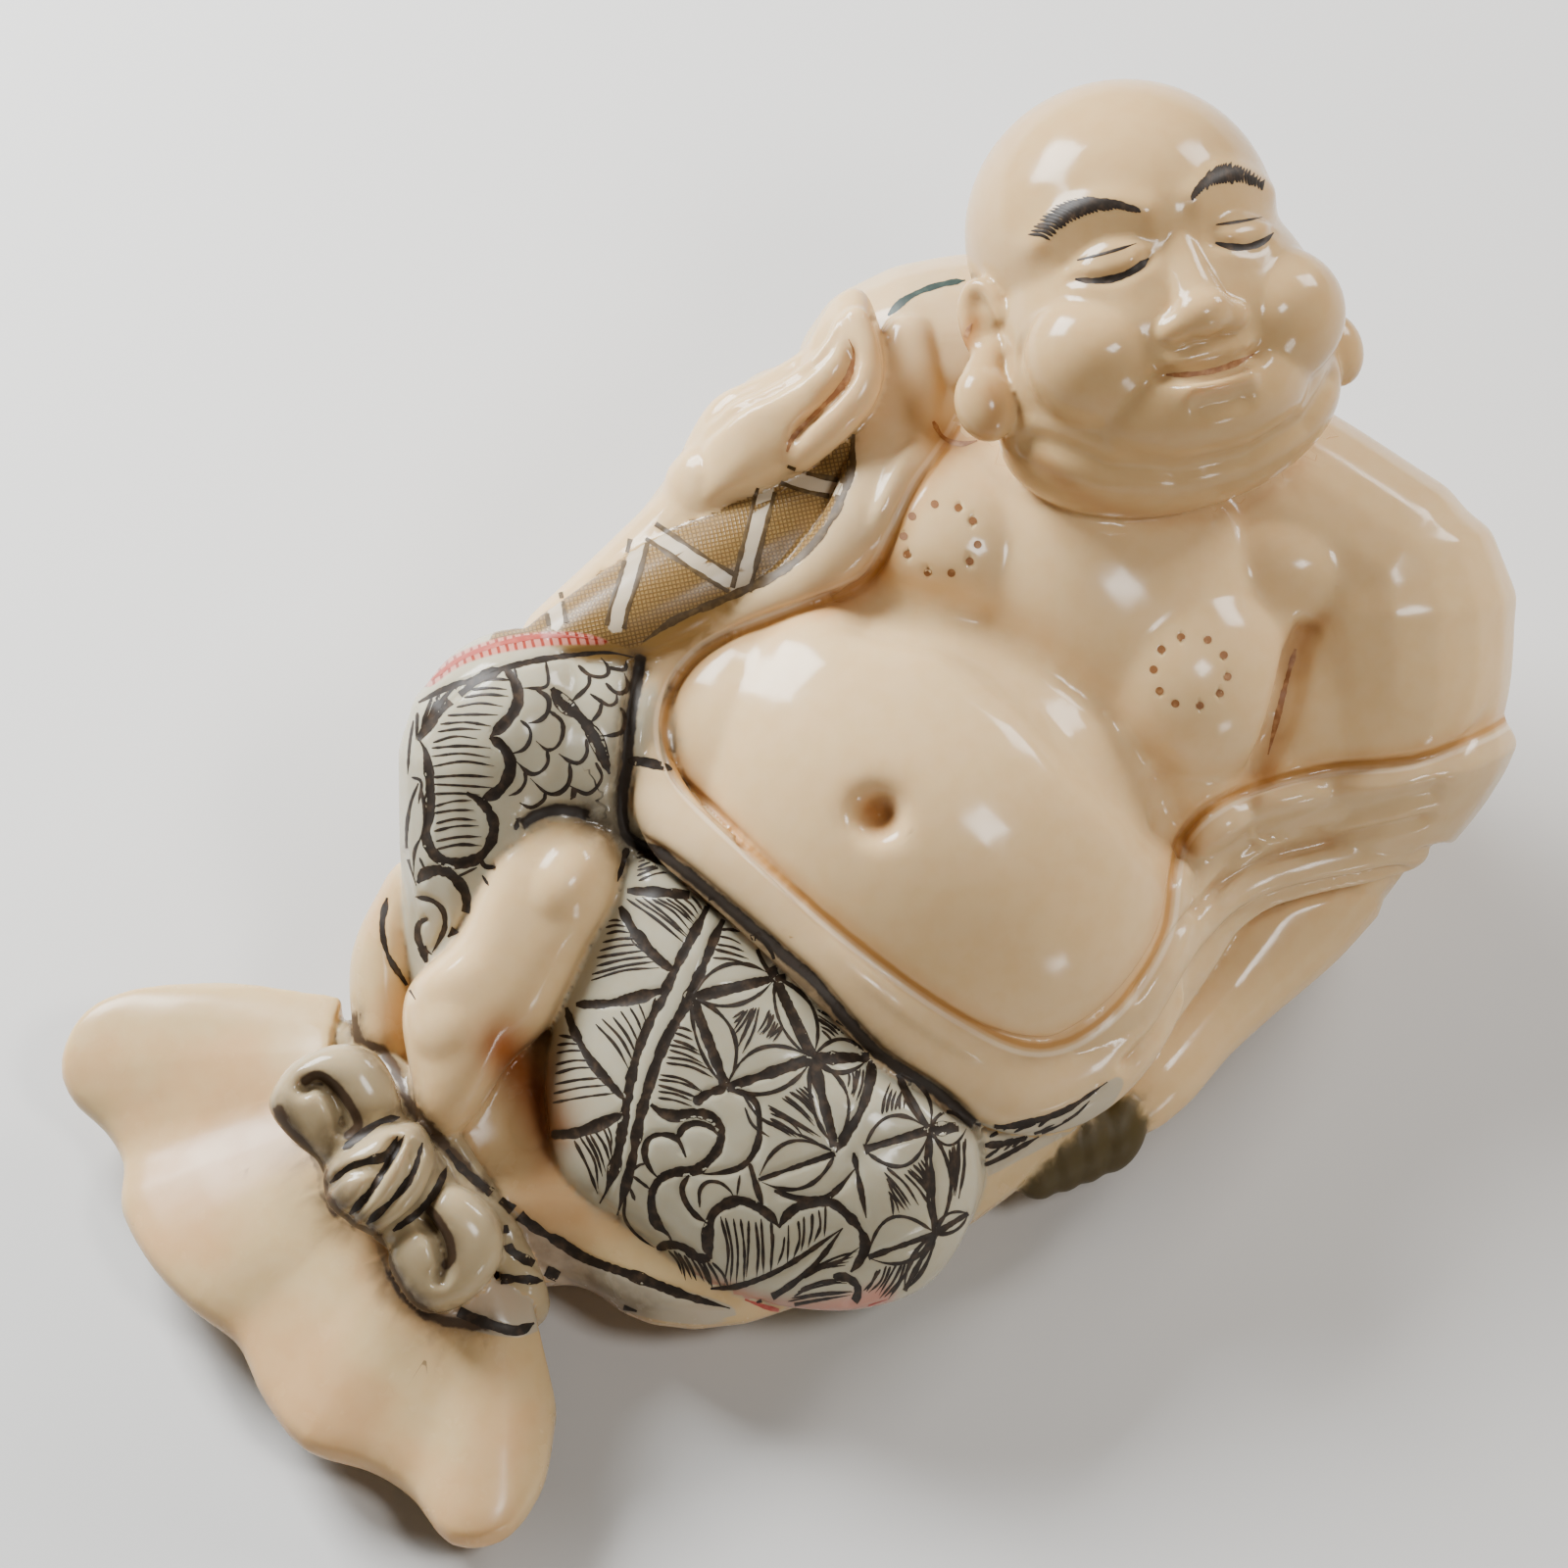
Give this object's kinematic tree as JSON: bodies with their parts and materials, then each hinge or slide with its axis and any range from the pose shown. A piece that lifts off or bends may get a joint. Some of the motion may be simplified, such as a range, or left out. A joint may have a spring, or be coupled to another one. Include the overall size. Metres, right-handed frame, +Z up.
{
  "type": "buddha figurine",
  "caption": "Reclining laughing-monk figurine leaning on a tied sack, carved as one polished solid with a flat underside.",
  "frame": {"origin": "middle of the bounding box in X and Y, on the flat underside", "axes": "+X along the longest extent, from the sack's mouth to the figure's head; +Z up; the figure's front leans up towards -Y and -X"},
  "size_m": [0.06, 0.0384, 0.0327],
  "materials": {
    "ivory": "polished"
  },
  "bodies": {
    "root": {"buddha_figurine": "ivory"}
  },
  "joints": []
}
